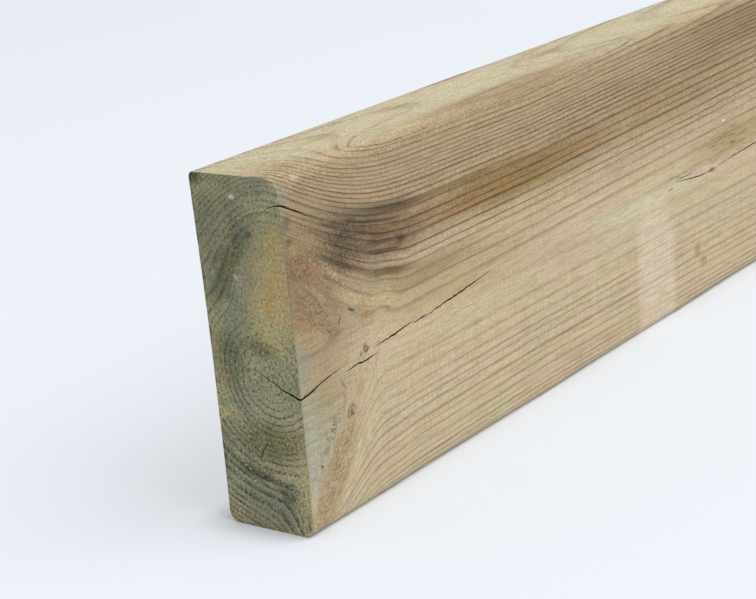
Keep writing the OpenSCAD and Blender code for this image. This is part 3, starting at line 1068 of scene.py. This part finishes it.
# Distance from the sleeper within which the floor keeps the full depth of the shadow
CONTACT_REACH = 25 * MM
CAMERA_PLACE = Vector((-1.91482, -0.64525, 0.42142))
CAMERA_RIGHT = Vector((0.590055, -0.802150, -0.091603))
CAMERA_BACK = Vector((-0.753444, -0.587860, 0.294520))
CAMERA_LENS = 90.94
CAMERA_REACH = 200.0
SKY_LEVEL = 0.62
LAMP_POWER = 175.0
LAMP_SIZE = 5.0
# What the lamp points at, and its place as seen from there
LAMP_TARGET = Vector((LOW.x + 0.25, 0, HEIGHT / 2))
LAMP_PLACE = Vector((0.6, -3.1, 4.2))


class SLEEPER_OT_studio(bpy.types.Operator):
    """Set the floor, the light and the camera"""

    bl_idname = "sleeper.studio"
    bl_label = "Set Studio"

    def execute(self, context):
        scene = context.scene
        colours = scene.sleeper_colours
        bm = bmesh.new()
        bmesh.ops.create_grid(bm, x_segments=1, y_segments=1, size=FLOOR_SIZE / 2)
        mesh = make_mesh(bm, "studio_floor")
        material, add = new_material("studio_floor")
        # Matt painted board: pale and even, so that the eye sees only the sleeper's shadow on it
        matt = {"Base Color": colours.floor, "Roughness": FLOOR_ROUGHNESS, "Specular IOR Level": FLOOR_GLOSS}
        surface = add(SURFACE, matt, "BSDF")
        glow = add("Emission", {"Color": colours.floor, "Strength": 1.0})
        path = add("LightPath", output="Is Camera Ray")
        mirrored = add(MATH, (path, path.node.outputs["Is Glossy Ray"]), **HIGHER)
        seen = add(MATH, (mirrored, path.node.outputs["Is Transmission Ray"]), **HIGHER)
        place = add(COORDINATES, output="Object")
        either_side = add(VECTOR, [place], operation="ABSOLUTE")
        past = add(VECTOR, (either_side, (HIGH.x, HIGH.y, 0.0)), **MINUS)
        outside = add(VECTOR, (past, (0.0, 0.0, 0.0)), **HIGHER)
        distance = add(VECTOR, [outside], **EXTENT)
        lift = add(RANGE, (distance, 0.0, CONTACT_REACH, 0.0, FLOOR_LIFT), **SMOOTH)
        lifted = add(MATH, (seen, lift), **TIMES)
        floor_surface = add("MixShader", (lifted, surface, glow))
        add(OUTPUT, {"Surface": floor_surface})
        mesh.materials.append(material)
        floor = make_object(scene.collection, "studio_floor", mesh)

        world = bpy.data.worlds.new("studio_sky")
        world.use_nodes = True
        sky = world.node_tree.nodes["Background"].inputs
        sky["Color"].default_value = (1, 1, 1, 1)
        sky["Strength"].default_value = SKY_LEVEL
        scene.world = world

        light = bpy.data.lights.new("soft_box", "AREA")
        light.energy = LAMP_POWER
        light.shape = "DISK"
        light.size = LAMP_SIZE
        lamp = make_object(scene.collection, "soft_box", light)
        lamp.matrix_world = Matrix.Translation(LAMP_PLACE + LAMP_TARGET) @ (
            LAMP_PLACE.to_track_quat("Z", "Y").to_matrix().to_4x4())

        lens = bpy.data.cameras.new("camera")
        lens.lens = CAMERA_LENS
        lens.clip_end = CAMERA_REACH
        camera = make_object(scene.collection, "camera", lens)
        turn = Matrix((CAMERA_RIGHT, CAMERA_BACK.cross(CAMERA_RIGHT), CAMERA_BACK)).transposed()
        camera.matrix_world = Matrix.Translation(CAMERA_PLACE) @ turn.to_4x4()
        scene.camera = camera
        scene.view_settings.view_transform = "Standard"
        return {"FINISHED"}


class SLEEPER_PT_panel(bpy.types.Panel):
    """Sizes, colours and steps of the sleeper"""

    bl_idname = "SLEEPER_PT_panel"
    bl_label = "Railway Sleeper"
    bl_space_type = "VIEW_3D"
    bl_region_type = "UI"
    bl_category = "Sleeper"

    def draw(self, context):
        for group in (context.scene.sleeper_sizes, context.scene.sleeper_colours):
            column = self.layout.column(align=True)
            for name in group.__annotations__:
                column.prop(group, name)
        for operator in (SLEEPER_OT_timber, SLEEPER_OT_studio):
            self.layout.operator(operator.bl_idname)


CLASSES = (SleeperSizes, SleeperColours, SLEEPER_OT_timber, SLEEPER_OT_studio, SLEEPER_PT_panel)


def register():
    """Registers the classes and hangs the properties on the scene."""
    for cls in CLASSES:
        bpy.utils.register_class(cls)
    bpy.types.Scene.sleeper_sizes = bpy.props.PointerProperty(type=SleeperSizes)
    bpy.types.Scene.sleeper_colours = bpy.props.PointerProperty(type=SleeperColours)


def unregister():
    """Takes the properties and the classes away again."""
    del bpy.types.Scene.sleeper_colours
    del bpy.types.Scene.sleeper_sizes
    for cls in reversed(CLASSES):
        bpy.utils.unregister_class(cls)


def main():
    """Builds everything in order."""
    register()
    bpy.ops.sleeper.timber()
    bpy.ops.sleeper.studio()


if __name__ == "__main__":
    main()
